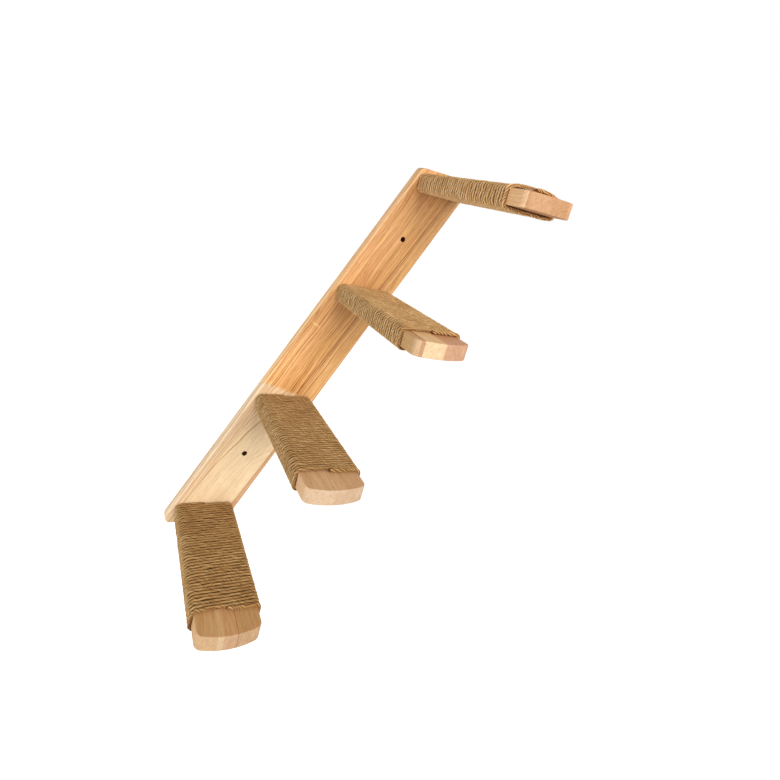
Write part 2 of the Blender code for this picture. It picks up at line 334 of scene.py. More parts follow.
def tread_piece(number):
    """A tread in the place of its node, from its outline at each ring of its two rounded edges.

    A ring point is the outline's point, drawn in against the outward direction, at the ring's height. The
    end grain attribute, which carries the painted light on the tips' fronts, is the share of side times the
    outward direction's part along the grain.
    """
    low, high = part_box(f"tread_{number}")
    points, outward = tread_outline((high.x - low.x) / 2, high.y, low.y)
    points[:, 0] += (high.x + low.x) / 2
    radius = np.interp(high.y - points[:, 1], [ROUNDER_PART, FINER_PART], [TREAD_EDGE, TIP_EDGE])
    edge = rounded_edge(TREAD_EDGE_STEPS)
    rings, lit_end_grain = [], []
    for face, way, order in ((low.z, 1, edge), (high.z, -1, edge[::-1])):
        for inset, down, side in order:
            drawn_in = points - outward * (radius * inset)[:, None]
            rings.append(np.column_stack([drawn_in, face + way * radius * down]))
            lit_end_grain.append(side * np.abs(outward[:, 1]))
    piece = plate(f"sanded_tread_{number}", [np.array(rings)])
    mark(piece.data, "lit_end_grain", np.concatenate(lit_end_grain))
    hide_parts(f"tread_{number}")
    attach(piece, "root")
    return piece


treads = {number: tread_piece(number) for number in TREADS}
print("tread faces:", len(treads[1].data.polygons))

# %% [markdown]
# ## The board
# The board is glued up from staves, cut to a parallelogram so that its ends are level, and drilled. Two
# holes take the wall screws. Eight more, countersunk at the back, take the bolts that hold the treads. Holes
# could be cut with Boolean modifiers, which leave long thin faces that shade badly on a flat board. Here
# each hole is a stack of circles, and the flat faces are filled around it.

# %% Outline of the board
LEAN = math.radians(25)
BOARD_HALF = 50 * MM
BOARD_CORNER = 10 * MM


def rounded_outline(corners, radius):
    """An outline through four corners, each replaced by an arc that touches the sides on both sides of it.

    The arc's centre lies on the line that halves the corner, at the radius over the sine of half the corner.
    """
    parts = []
    for index, corner in enumerate(corners):
        here = Vector(corner)
        back = (Vector(corners[index - 1]) - here).normalized()
        ahead = (Vector(corners[(index + 1) % 4]) - here).normalized()
        half = back.angle(ahead) / 2
        centre = here + (back + ahead).normalized() * radius / math.sin(half)
        start = here + back * radius / math.tan(half) - centre
        first = math.atan2(start.y, start.x)
        parts.append(arc(centre, radius, first, first + math.pi - 2 * half, CORNER_POINTS))
    return np.concatenate(parts)


def board_outline(low, high, inset):
    """The board seen from the front, drawn in by the inset on all sides, in x and z.

    At each height its middle is the height times the tangent of the lean, and its half width is divided by
    the lean's cosine.
    """
    bottom, top = low.z + inset, high.z - inset
    half = (BOARD_HALF - inset) / math.cos(LEAN)
    corners = [(height * math.tan(LEAN) + way * half, height)
               for height, way in ((bottom, -1), (bottom, 1), (top, 1), (top, -1))]
    return rounded_outline(corners, BOARD_CORNER - inset)


# %% Holes in the board
WALL_HOLE = 4.5 * MM
WALL_HOLE_RISE = 108 * MM
WALL_HOLE_RIM = 0.5 * MM
WALL_HOLE_TREADS = (1, 3)
BACK_RIM = 0.1 * MM
BOLT_HEAD = 6.42 * MM
BOLT_SHANK = 3.25 * MM
BOLT_HEAD_RECESS = 0.5 * MM
HOLE_POINTS = 40


def bolt_levels(front, back):
    """Radius, depth and painted shade of a bolt's hole: a straight bore, then a cone up to the head's recess.
    """
    recess = back - BOLT_HEAD_RECESS
    return [(BOLT_SHANK, front, 0), (BOLT_SHANK, recess - (BOLT_HEAD - BOLT_SHANK), 1),
            (BOLT_HEAD, recess, 1), (BOLT_HEAD, back, 0)]


def wall_levels(front, back):
    """Radius, depth and painted shade of a wall screw's hole: straight, with its front rim eased by
    sandpaper.
    """
    eased = 0.3 * WALL_HOLE_RIM
    return [(WALL_HOLE + WALL_HOLE_RIM, front, 0), (WALL_HOLE + eased, front + eased, 0),
            (WALL_HOLE, front + WALL_HOLE_RIM, 1), (WALL_HOLE, back - BACK_RIM, 1), (WALL_HOLE, back, 0)]


def board_holes(front, back):
    """Middle (x, z) and levels of each hole: a tread's two bolts, and the wall screw above two treads."""
    holes = []
    for number in TREADS:
        low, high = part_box(f"tread_{number}")
        height = (low.z + high.z) / 2
        for side in ("left", "right"):
            low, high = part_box(f"bolt_{number}_{side}")
            holes.append((((low.x + high.x) / 2, height), bolt_levels(front, back)))
        if number in WALL_HOLE_TREADS:
            z = height + WALL_HOLE_RISE
            holes.append(((z * math.tan(LEAN), z), wall_levels(front, back)))
    return holes


def hole_stack(middle, levels):
    """The rings of a hole: a circle round its middle at each level's radius and depth."""
    return np.array([np.insert(arc(middle, radius, 0, 2 * math.pi, HOLE_POINTS + 1)[:-1], 1, depth, axis=1)
                     for radius, depth, _ in levels])


print("holes in the board:", len(board_holes(0, 0)))

# %% Board
BOARD_FRONT_ROUND = 2.5 * MM
BOARD_BACK_ROUND = 0.8 * MM
BOARD_EDGE_STEPS = 7


def board_piece():
    """The board in the place of its node, with its ten holes. The bore attribute marks their walls, which are
    painted dark as shade.
    """
    low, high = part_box("backboard")
    edge = rounded_edge(BOARD_EDGE_STEPS)
    rounds = ((low.y, 1, BOARD_FRONT_ROUND, edge), (high.y, -1, BOARD_BACK_ROUND, edge[::-1]))
    rings = []
    for face, way, radius, order in rounds:
        for inset, down, _ in order:
            outline = board_outline(low, high, radius * inset)
            rings.append(np.insert(outline, 1, face + way * radius * down, axis=1))
    holes = board_holes(low.y, high.y)
    piece = plate("sanded_board", [np.array(rings), *[hole_stack(*hole) for hole in holes]])
    # Painted shade on the holes' walls, and none on the outline's rings.
    painted_shade = [np.repeat([dark for _, _, dark in levels], HOLE_POINTS) for _, levels in holes]
    mark(piece.data, "bore", np.concatenate([np.zeros(len(rings) * len(rings[0])), *painted_shade]))
    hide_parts("backboard")
    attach(piece, "root")
    return piece


board = board_piece()
print("board faces:", len(board.data.polygons))

# %% [markdown]
# ## The rope's path
# Jute rope is three strands laid round each other to the right, so on a level run they slant down to the
# right. It is 5 mm thick and is wound tight from the board to the tip, 41 turns to a tread. Each winding is
# one tube swept along one path, as the real one is one rope. A curve object with a round bevel would be
# quicker to make, but it has no strands, and a ring of rope copied 41 times would never climb from turn to
# turn. Hand winding shows as turns that wander a little, and as a last turn that stands proud and looser
# than the rest.

# %% One turn round a tread
ROPE_RADIUS = 2.5 * MM
ROPE_SNUG = 0.1 * MM
ROPE_REACH = ROPE_RADIUS + ROPE_SNUG


def round_section(half_width, half_height, edge, reach):
    """Arc length, outward angle and corner centres of a turn round a tread, from its top's middle leftwards.

    A turn alternates flats, where the corner centre moves, and corners, where the angle grows by a quarter
    turn.
    """
    across, up = half_width - edge, half_height - edge
    bend = math.pi / 2 * (edge + reach)
    lengths = np.cumsum([0, across, bend, 2 * up, bend, 2 * across, bend, 2 * up, bend, across])
    angle = math.pi / 2 * np.array([1, 1, 2, 2, 3, 3, 4, 4, 5, 5])
    centre_x = across * np.array([0, -1, -1, -1, -1, 1, 1, 1, 1, 0])
    centre_z = up * np.array([1, 1, 1, -1, -1, -1, -1, 1, 1, 1])
    return lengths, angle, centre_x, centre_z


low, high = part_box("tread_1")
one_turn = float(round_section((high.x - low.x) / 2, (high.z - low.z) / 2, TREAD_EDGE, ROPE_REACH)[0][-1])
print("rope in one turn, mm:", round(one_turn / MM, 1))

# %% Marks of hand winding
ROPE_TURNS = 41
LOOSE_BELOW = 0.3
SLACK_TURNS = 1.45
SLACK_START = 0.2


def wander(turn, rng, size, swell, turns_apart, waves=9):
    """A smooth random sway: a sum of sines that go round with the tread and drift slowly from turn to turn.

    Each sine swells up to as many times in a turn as swell says, and a part of a cycle more or less makes it
    drift, the slower the larger turns_apart is.
    """
    total = np.zeros_like(turn)
    for _ in range(waves):
        cycles = rng.integers(0, swell) + rng.uniform(-1, 1) / turns_apart
        total += np.sin(2 * math.pi * (cycles * turn + rng.random()))
    return total * size * math.sqrt(2 / waves)


def last_turn(turn):
    """The part of the last turn that is done: nothing up to its start, and one at the rope's end."""
    return np.clip(turn - ROPE_TURNS + 1, 0, 1)


def last_turn_bow(turn, angle, across, loose):
    """How far the last turn stands off the wide faces, in full on top and in part below.

    On a face it is a bow: one less the cube of the way across from the middle, as a share of the half width.
    """
    slack = np.clip((turn - ROPE_TURNS + SLACK_TURNS) / SLACK_START, 0, 1)
    on_face = np.where(np.sin(angle) > 0, 1.0, LOOSE_BELOW) * np.abs(np.sin(angle)) ** 8
    return loose * slack * on_face * (1 - np.abs(across / np.abs(across).max()) ** 3)


def freed(turn):
    """How free the rope is of a next turn beside it: the part of the last turn done, to the power 0.3."""
    return last_turn(turn)[:, None] ** 0.3


def tuck(distance, reach):
    """One at a rope's end and nothing past the reach: the square of the share of the reach that is left."""
    return np.clip(1 - distance / reach, 0, 1) ** 2


print("last turn half done:", last_turn(np.array([ROPE_TURNS - 0.5])))

# %% Path of a winding
ROPE_STEP = 1.2 * MM
WOUND_LENGTH = 219.5 * MM
ROPE_PITCH = (WOUND_LENGTH - 2 * ROPE_RADIUS) / ROPE_TURNS
BOARD_GAP = 0.3 * MM
CALM_TURNS = 2.5
LAST_TURN_RISE = 0.5 * MM
LAST_TURN_GAP = 0.35 * MM
TUCK_BACK, BACK_REACH = 0.7 * MM, 12 * MM
TUCK_IN, IN_REACH = 0.35 * MM, 8 * MM


def winding_path(number, rng, loose):
    """Centre line of a winding, its outward directions, and the length and the turn that each point is at.

    A point is a corner centre plus the outward direction times the lift, and each turn goes on by one pitch
    along the tread. The sway calms down over the first and last few turns, so that these lie straight.
    """
    low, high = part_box(f"tread_{number}")
    board_low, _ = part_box("backboard")
    middle = (low + high) / 2
    lengths, *section = round_section((high.x - low.x) / 2, (high.z - low.z) / 2, TREAD_EDGE, ROPE_REACH)
    rope = np.arange(0, lengths[-1] * ROPE_TURNS, ROPE_STEP)
    turn = rope / lengths[-1]
    angle, across, up = [np.interp(rope % lengths[-1], lengths, column) for column in section]
    lift = TREAD_EDGE + ROPE_REACH + np.abs(wander(turn, rng, size=0.10 * MM, swell=7, turns_apart=3))
    sway = wander(turn, rng, size=0.42 * MM, swell=5, turns_apart=12)
    sway += wander(turn, rng, size=0.27 * MM, swell=14, turns_apart=1.6, waves=14)
    room = np.clip(np.minimum(turn, ROPE_TURNS - turn) / CALM_TURNS, 0, 1)
    along = BOARD_GAP + ROPE_RADIUS + ROPE_PITCH * turn + sway * room
    along += LAST_TURN_GAP * np.clip(4 * last_turn(turn), 0, 1)
    lift += last_turn_bow(turn, angle, across, loose) + LAST_TURN_RISE * last_turn(turn) ** 0.5
    to_end = rope[-1] - rope
    along -= TUCK_BACK * tuck(to_end, BACK_REACH)
    lift -= TUCK_IN * tuck(np.minimum(rope, to_end), IN_REACH)
    outward = np.column_stack([np.cos(angle), np.zeros_like(angle), np.sin(angle)])
    centre = np.column_stack([middle.x + across, board_low.y - along, middle.z + up])
    return centre + outward * lift[:, None], outward, rope, turn


print("rope on a tread, m:", round(one_turn * ROPE_TURNS, 2))

# %% [markdown]
# ## The rope's strands
# The section's radius swings between a crown on each strand and a valley where two strands meet. The ring of
# points turns with the strands, so the valleys stay sharp with few points. Three tubes wound round each
# other would show the same, with three times the faces and hidden skins inside. Four patterns go with the
# mesh for the jute finish, because it follows the rope and not the room.

# %% Strands
STRAND_SECTION = np.array([1.0, 0.96, 0.85, 0.96] * 3)
STRAND_ANGLE = 2 * math.pi * np.arange(len(STRAND_SECTION)) / len(STRAND_SECTION)
ROPE_LAY = 25 * MM
BLUNT_END = 2.2 * MM
FREE_SWELL = 0.08
FREE_VALLEY = 1.2


def across_path(centre, outward):
    """The outward directions made square to the path, and the sideways ones, square to both."""
    tangent = np.gradient(centre, axis=0)
    tangent /= np.linalg.norm(tangent, axis=1)[:, None]
    outward = outward - tangent * (outward * tangent).sum(1)[:, None]
    outward /= np.linalg.norm(outward, axis=1)[:, None]
    return outward, np.cross(tangent, outward)


def strand_angles(rope, turn, rng):
    """Angle of each ring point from outward: its place in the ring, and a full turn in each lay."""
    lays = rope / ROPE_LAY + wander(turn, rng, size=0.3, swell=7, turns_apart=1.1)
    return STRAND_ANGLE + 2 * math.pi * lays[:, None]


def strand_radii(rope, turn, rng):
    """Distance of each ring point from the middle of the rope, which is uneven and has blunt ends.

    It is the rope's radius times the strand section. In the last turn the valleys are deeper and the rope,
    no longer pressed, is thicker. The ends are rounded by the height of a quarter circle.
    """
    from_end = np.clip(np.minimum(rope, rope[-1] - rope) / BLUNT_END, 0.04, 1)
    thick = ROPE_RADIUS * (1 + wander(turn, rng, size=0.035, swell=16, turns_apart=1.4, waves=14))
    thick = thick * np.sqrt(1 - (1 - from_end) ** 2)
    free = freed(turn)
    section = 1 - (1 - STRAND_SECTION) * (1 + FREE_VALLEY * free)
    return thick[:, None] * (1 + FREE_SWELL * free ** 2) * section


print("points round the rope:", len(STRAND_SECTION))

# %% Windings
FIRST_SEED = 20
LOOSE_TURNS = {1: 0.4 * MM, 2: 0.6 * MM, 3: 0.3 * MM, 4: 4.2 * MM}


def mark_jute(mesh, rope, turn, angle, sideways):
    """Stores what the jute finish reads at each point.

    fibre_mm is the place on the straight rope and strand_mm the place that turns with the strands. crown is
    one on a strand and falls in a valley, where the finish paints shade. The last mark is the sine cubed, for
    painted shade most where two turns touch, and less on the last turn's open side.
    """
    free = freed(turn)
    length = np.repeat(rope[:, None] / MM, len(STRAND_ANGLE), axis=1)
    fibre = np.stack([ROPE_RADIUS / MM * np.cos(angle), ROPE_RADIUS / MM * np.sin(angle), length], -1)
    held = np.broadcast_to(STRAND_ANGLE, angle.shape)
    mark(mesh, "fibre_mm", fibre, "FLOAT_VECTOR", "vector")
    mark(mesh, "strand_mm", np.stack([np.cos(held), np.sin(held), length], -1), "FLOAT_VECTOR", "vector")
    mark(mesh, "crown", 1 - (1 - STRAND_SECTION) / np.ptp(STRAND_SECTION) * (0.6 + 0.4 * free))
    # Painted shade between turns, less on the open side of the last turn.
    open_side = np.sin(angle) * np.sign(-sideways[:, 1:2]) > 0
    mark(mesh, "turn_shade", np.abs(np.sin(angle)) ** 3 * (1 - 0.65 * free * open_side))


def winding_piece(number, rng, loose):
    """A winding as one closed tube in the place of its node.

    A point is the path's point, plus the ring's radius times the cosine of its angle outwards and times the
    sine of its angle sideways.
    """
    centre, outward, rope, turn = winding_path(number, rng, loose)
    outward, sideways = across_path(centre, outward)
    angle = strand_angles(rope, turn, rng)
    radius = strand_radii(rope, turn, rng)
    points = (centre[:, None] + (radius * np.cos(angle))[..., None] * outward[:, None]
              + (radius * np.sin(angle))[..., None] * sideways[:, None])
    numbers = np.arange(angle.size).reshape(angle.shape)
    faces = band_faces(numbers)[:, [0, 3, 2, 1]].tolist()
    faces += [numbers[0].tolist(), numbers[-1, ::-1].tolist()]
    mesh = bpy.data.meshes.new(f"jute_rope_{number}")
    mesh.from_pydata(points.reshape(-1, 3), [], faces)
    mesh.shade_smooth()
    mark_jute(mesh, rope, turn, angle, sideways)
    piece = add_object(mesh.name, mesh)
    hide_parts(f"rope_wrap_{number}")
    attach(piece, "root")
    return piece


ropes = {number: winding_piece(number, np.random.default_rng(FIRST_SEED + number), loose)
         for number, loose in LOOSE_TURNS.items()}
print("rope faces:", len(ropes[1].data.polygons))

# %% [markdown]
# ## Jute finish
# Jute is a coarse golden-brown bast fibre. Its fibres run along the rope and catch the light as fine pale
# streaks, and the strands differ a little in tone. The valleys between strands and the crevices between turns
# are painted darker as shade, and the ropes on the lower treads are painted darker than those higher up, as
# light and shade. It has no gloss, only a faint sheen from loose fibres. Hair strands would be the closest to
# the real thing, but they would outweigh the whole object, so the fibres are a pattern that is stretched
# along the rope and raised by a bump.

# %% Jute fibres and tones
# Cells of noise across and along the rope. Along it they are for each millimetre.
FIBRE_CELLS = (2.2, 2.2, 0.3)
STRAND_CELLS = (0.8, 0.8, 0.07)
PATCHES_PER_METRE = 28.0
TONE_WEIGHTS = (0.55, 0.50, 0.25)
TONE_PLACES = (0.45, 0.62, 0.80)


def jute_fibres(tree, seed):
    """Height of fibres in cells 0.45 mm wide and 3.3 mm long. Real ones are finer, too fine to show."""
    place = add_node(tree, "Attribute", attribute_name="fibre_mm")
    place = add_node(tree, "Mapping", {"Vector": place.outputs["Vector"], "Scale": FIBRE_CELLS,
                                       "Location": (seed * 7.3, 0, 0)})
    return add_node(tree, "TexNoise", {"Vector": place, "Scale": 1.0, "Detail": 3.0, "Roughness": 0.6})


def jute_tone(tree, seed, fibres, tones):
    """Colour from a dark, a middle and a pale tone, by the sum of fibres, strands and patches.

    A strand changes tone every 15 mm or so, and a patch is about 35 mm wide.
    """
    place = add_node(tree, "Attribute", attribute_name="strand_mm")
    strands = add_node(tree, "Mapping", {"Vector": place.outputs["Vector"], "Scale": STRAND_CELLS,
                                         "Location": (0, seed * 3.1, 0)})
    strands = add_node(tree, "TexNoise", {"Vector": strands, "Scale": 1.0, "Detail": 2.0})
    place = add_node(tree, "TexCoord")
    patches = add_node(tree, "TexNoise", {"Vector": place.outputs["Object"], "Scale": PATCHES_PER_METRE,
                                          "Detail": 1.0})
    total = 0.02
    for pattern, weight in zip((fibres, strands, patches), TONE_WEIGHTS):
        total = add_node(tree, "Math", [pattern, weight, total], operation="MULTIPLY_ADD")
    stops = [(place, hex_colour(tone)) for place, tone in zip(TONE_PLACES, tones)]
    return add_node(tree, "ValToRGB", {"Fac": total}, stops)


print("a cell of fibres in mm:", [round(1 / cells, 2) for cells in FIBRE_CELLS])

# %% Jute
# Each tread's three tones are darker on the lower treads and paler on the higher ones: painted light and
# shade over the jute's own colour.
JUTE_TONES_AND_PAINTED_LIGHT = {1: ("#8f6b38", "#b48850", "#d2aa70"), 2: ("#946f3e", "#b98e57", "#d8b179"),
              3: ("#a88046", "#cc9f65", "#e5bd85"), 4: ("#b78c50", "#ddab6e", "#f2c78f")}
# Painted shade in the valleys between strands, set by how far a point lies from a strand's crown.
PAINTED_VALLEY_SHADE = [(0.0, hex_colour("#85633d")), (0.4, hex_colour("#c2a17d")), (0.76, WHITE)]
# Painted shade where two turns touch, by the sine cubed of the way round the rope.
PAINTED_TURN_SHADE = (-0.86, -0.91, -0.95)


def jute(name, seed, tones):
    """Twisted, unbleached jute in three tones, matt, with a weak sheen, and painted shade in the valleys
    between strands and where two turns touch.
    """
    made, tree, shader = new_material(name)
    fibres = jute_fibres(tree, seed)
    colour = jute_tone(tree, seed, fibres, tones)
    crown = add_node(tree, "Attribute", attribute_name="crown")
    valley = add_node(tree, "ValToRGB", {"Fac": crown.outputs["Fac"]}, PAINTED_VALLEY_SHADE)
    colour = add_node(tree, "VectorMath", [colour, valley], operation="MULTIPLY")
    # Where two turns touch, the rope is painted darker as the shade in the crevice between them.
    turn_shade = add_node(tree, "Attribute", attribute_name="turn_shade")
    shaded_between_turns = add_node(tree, "VectorMath", [turn_shade.outputs["Fac"], PAINTED_TURN_SHADE, (1, 1, 1)],
                      operation="MULTIPLY_ADD")
    colour = add_node(tree, "VectorMath", [colour, shaded_between_turns], operation="MULTIPLY")
    bump = add_node(tree, "Bump", {"Height": fibres, "Strength": 0.7, "Distance": 0.35 * MM})
    feed(tree, shader, {"Base Color": colour, "Normal": bump, "Roughness": 0.88, "Specular IOR Level": 0.25,
                        "Sheen Weight": 0.25, "Sheen Tint": hex_colour("#ecc48c"), "Sheen Roughness": 0.5})
    return made


for number, piece in ropes.items():
    piece.data.materials.append(jute(f"twisted jute {number}", number, JUTE_TONES_AND_PAINTED_LIGHT[number]))
print("jute on", len(ropes), "windings")

# %% [markdown]
# ## Wood finish
# The wood is rubberwood, sanded and clear-oiled: pale, open-pored, and glued up from staves of different
# trees, so tone and figure jump at each glue line. A picture of wood laid on the faces would slide or tear
# at the edges. Here the pattern is worked out in the solid, in millimetres across, through and along the
# grain, so faces, edges and end grain agree.

# %% Frame of the grain
SWAY_WIDTH = 45
SWAY_LENGTH = 90
SWAY_REACH = 12
RING_SWAY = 0.8


def grain_frame(tree, turn, shift):
    """Places in millimetres, with the grain along Z: straight, swayed for fibres, and swayed for rings.

    The grain wanders about 2 mm sideways over 100 mm, by a soft noise that is centred on nothing.
    """
    place = add_node(tree, "TexCoord")
    straight = add_node(tree, "Mapping", {"Vector": place.outputs["Object"], "Scale": (1 / MM,) * 3,
                                          "Rotation": turn, "Location": shift})
    sway = add_node(tree, "Mapping", {
        "Vector": straight, "Scale": (1 / SWAY_WIDTH, 1 / SWAY_WIDTH, 1 / SWAY_LENGTH)})
    sway = add_node(tree, "TexNoise", {"Vector": sway, "Scale": 1.0, "Detail": 1.5})
    sway = add_node(tree, "VectorMath", [
        sway.outputs["Color"], (SWAY_REACH, SWAY_REACH, 0), (-SWAY_REACH / 2, -SWAY_REACH / 2, 0)],
        operation="MULTIPLY_ADD")
    fibres = add_node(tree, "VectorMath", [sway, straight], operation="ADD")
    rings = add_node(tree, "VectorMath", [sway, (RING_SWAY, RING_SWAY, 0), straight],
                     operation="MULTIPLY_ADD")
    return straight, fibres, rings


print("the grain sways by up to", SWAY_REACH / 2, "mm to a side")

# %% [markdown]
# ## Staves and growth rings
# A stave is sawn from a log, and growth rings are shells round the log's pith. So each stave has a pith of
# its own, given as how far it lies across and how deep. Where the pith leans along the grain, the shells
# leave the long arches of flat-sawn wood, and where it doesn't, they leave stripes. A stepped colour ramp
# across the grain hands each stave its numbers, which spares one material for each stave.

# %% Staves
# A stave is (start, colour, pith across, pith depth, pith slope, strength of rings), in millimetres.
# One under 2 mm wide is a glue line.
STAVE_SPAN = 140
PITH_SPAN = 400


def stave_ramp(tree, grain, staves, values):
    """A stepped ramp across the grain, which holds each stave's value from its start to the next one's."""
    place = add_node(tree, "SeparateXYZ", [grain])
    share = add_node(tree, "Math", [place.outputs["X"], 1 / STAVE_SPAN, 0.5], operation="MULTIPLY_ADD")
    starts = [max(stave[0] / STAVE_SPAN + 0.5, 0) for stave in staves]
    return add_node(tree, "ValToRGB", {"Fac": share}, list(zip(starts, values)), stepped=True)


def stave_tint(tree, grain, staves):
    """The colour of each stave."""
    return stave_ramp(tree, grain, staves, [hex_colour(colour) for _, colour, *_ in staves])


def pith_distance(tree, grain, staves):
    """Distance from the pith of each stave, and the strength of its rings.

    The distance is the length of a vector: the way across from the pith, and the depth below it, which grows
    evenly along the grain. The ramp holds shares of its span, so they are stretched back to millimetres.
    """
    pith = stave_ramp(tree, grain, staves, [
        (across / PITH_SPAN + 0.5, depth / PITH_SPAN + 0.5, slope + 0.5, strength)
        for _, _, across, depth, slope, strength in staves])
    strength = pith.outputs["Alpha"]
    pith = add_node(tree, "VectorMath", [
        pith, (PITH_SPAN, PITH_SPAN, 1), (-PITH_SPAN / 2, -PITH_SPAN / 2, -0.5)],
        operation="MULTIPLY_ADD")
    pith = add_node(tree, "SeparateXYZ", [pith])
    place = add_node(tree, "SeparateXYZ", [grain])
    beside = add_node(tree, "Math", [place.outputs["X"], pith.outputs["X"]], operation="SUBTRACT")
    depth = add_node(tree, "Math", [place.outputs["Z"], pith.outputs["Z"], pith.outputs["Y"]],
                     operation="MULTIPLY_ADD")
    depth = add_node(tree, "Math", [depth, place.outputs["Y"]], operation="ADD")
    away = add_node(tree, "CombineXYZ", {"X": beside, "Y": depth})
    away = add_node(tree, "VectorMath", [away], operation="LENGTH")
    return away.outputs["Value"], strength


print("staves are placed on a span of", STAVE_SPAN, "mm")

# %% Growth rings
RING_WIDTH = 2.8
LINE_SPAN = 200
LINE_FADE = 3.2
LINE_EDGE = 0.8


def hard_lines(tree, away, lines):
    """Height of a few years' dark lines, each a (distance, darkness), which fade inwards and end sharply."""
    share = add_node(tree, "Math", [away, 1 / LINE_SPAN], operation="MULTIPLY")
    stops = [(0, 0.5)]
    for distance, dark in lines:
        stops += [(distance - LINE_FADE, 0.5), (distance, 0.5 - dark), (distance + LINE_EDGE, 0.5)]
    stops = [(place / LINE_SPAN, (level, level, level, 1)) for place, level in stops]
    height = add_node(tree, "ValToRGB", {"Fac": share}, stops)
    return add_node(tree, "Math", [height, -0.5], operation="ADD")


def growth_rings(tree, grain, staves, lines=()):
    """Height of the growth rings: an uneven band for every few millimetres, and the hard lines."""
    away, strength = pith_distance(tree, grain, staves)
    rings = add_node(tree, "Math", [away, 1 / RING_WIDTH], operation="MULTIPLY")
    rings = add_node(tree, "TexNoise", {"W": rings, "Scale": 1.0, "Detail": 2.5, "Roughness": 0.6},
                     noise_dimensions="1D")
    rings = add_node(tree, "Math", [rings, 0.5], operation="SUBTRACT")
    rings = add_node(tree, "Math", [rings, strength], operation="MULTIPLY")
    if lines:
        rings = add_node(tree, "Math", [rings, hard_lines(tree, away, lines)], operation="ADD")
    return rings


print("growth rings are about", RING_WIDTH, "mm wide")

# %% [markdown]
# ## Rubberwood
# Over the rings lie fibres, flecks and streaks, all stretched along the grain, and the fine dark pores that
# tell rubberwood from maple. One height carries them all, so colour and bump agree. Dark wood is redder as
# well as darker, which a plain change of brightness would miss. The end grain of the tips is painted paler
# and cooler, as the light that falls on their fronts, and the insides of the holes are painted dark as shade.

# %% Fibres, flecks, streaks and pores
# A layer is (width, length, detail, height), for fibres, flecks and streaks. Pores are twice the real width.
FIGURE_LAYERS = ((0.7, 30, 3, 0.60), (1.8, 36, 2, 0.40), (9, 190, 2, 0.62))
PORE_WIDTH = 0.7
PORE_LENGTH = 9
PORE_DEPTH = 0.14


def figured(tree, grain, figure, strength):
    """The rings' height with the layers of stretched noise added at a given strength, and pores taken off."""
    for width, length, detail, height in FIGURE_LAYERS:
        layer = add_node(tree, "Mapping", {"Vector": grain, "Scale": (1 / width, 1 / width, 1 / length)})
        layer = add_node(tree, "TexNoise", {"Vector": layer, "Scale": 1.0, "Detail": detail,
                                            "Roughness": 0.6})
        layer = add_node(tree, "Math", [layer, height, -height / 2], operation="MULTIPLY_ADD")
        figure = add_node(tree, "Math", [layer, strength, figure], operation="MULTIPLY_ADD")
    pores = add_node(tree, "Mapping", {
        "Vector": grain, "Scale": (1 / PORE_WIDTH, 1 / PORE_WIDTH, 1 / PORE_LENGTH)})
    pores = add_node(tree, "TexNoise", {"Vector": pores, "Scale": 1.0, "Detail": 0.0})
    pores = add_node(tree, "MapRange", {"Value": pores, "From Min": 0.62, "From Max": 0.74})
    return add_node(tree, "Math", [pores, -PORE_DEPTH, figure], operation="MULTIPLY_ADD")


print("layers of figure:", len(FIGURE_LAYERS))

# %% Rubberwood
FIGURE_CHANGE = (0.85, 1.2, 1.6)
# Painted light on the tips' end grain, paler and cooler, and painted shade inside the holes.
PAINTED_FRONT_LIGHT = (-0.06, 0.09, 0.42)
# Painted shade on the walls of the holes.
PAINTED_BORE_SHADE = (-0.82, -0.93, -0.98)
PALEST = (0.97, 0.97, 0.97)


def rubberwood(name, turn, shift, glue_up, *staves):
    """Oiled rubberwood in a turned and shifted grain frame. The glue_up gives tint, rings and strength."""
    made, tree, shader = new_material(name)
    straight, fibres, rings = grain_frame(tree, turn, shift)
    colour, rings, strength = glue_up(tree, straight, rings, *staves)
    figure = figured(tree, fibres, rings, strength)
    end = add_node(tree, "Attribute", attribute_name="lit_end_grain").outputs["Fac"]
    bore = add_node(tree, "Attribute", attribute_name="bore").outputs["Fac"]
    # The figure is the wood's own colour. The end grain gets painted light and the bores get painted shade.
    for source, change in ((figure, FIGURE_CHANGE), (end, PAINTED_FRONT_LIGHT), (bore, PAINTED_BORE_SHADE)):
        factor = add_node(tree, "VectorMath", [source, change, (1, 1, 1)], operation="MULTIPLY_ADD")
        colour = add_node(tree, "VectorMath", [colour, factor], operation="MULTIPLY")
    colour = add_node(tree, "VectorMath", [colour, PALEST], operation="MINIMUM")
    bump = add_node(tree, "Bump", {"Height": figure, "Strength": 0.2, "Distance": 0.15 * MM})
    rough = add_node(tree, "Math", [bore, 0.5, 0.5], operation="MULTIPLY_ADD")
    feed(tree, shader, {"Base Color": colour, "Normal": bump, "Roughness": rough, "Specular IOR Level": 0.3})
    return made


print("a figure height of 0.1 changes the colour by", [round(0.1 * part, 3) for part in FIGURE_CHANGE])

# %% [markdown]
# ## Wood of the treads
# A tread is two to five staves in one length, with the grain from the board to the tip. Its staves are
# listed from left to right, each with the tone that it shows on the real steps.

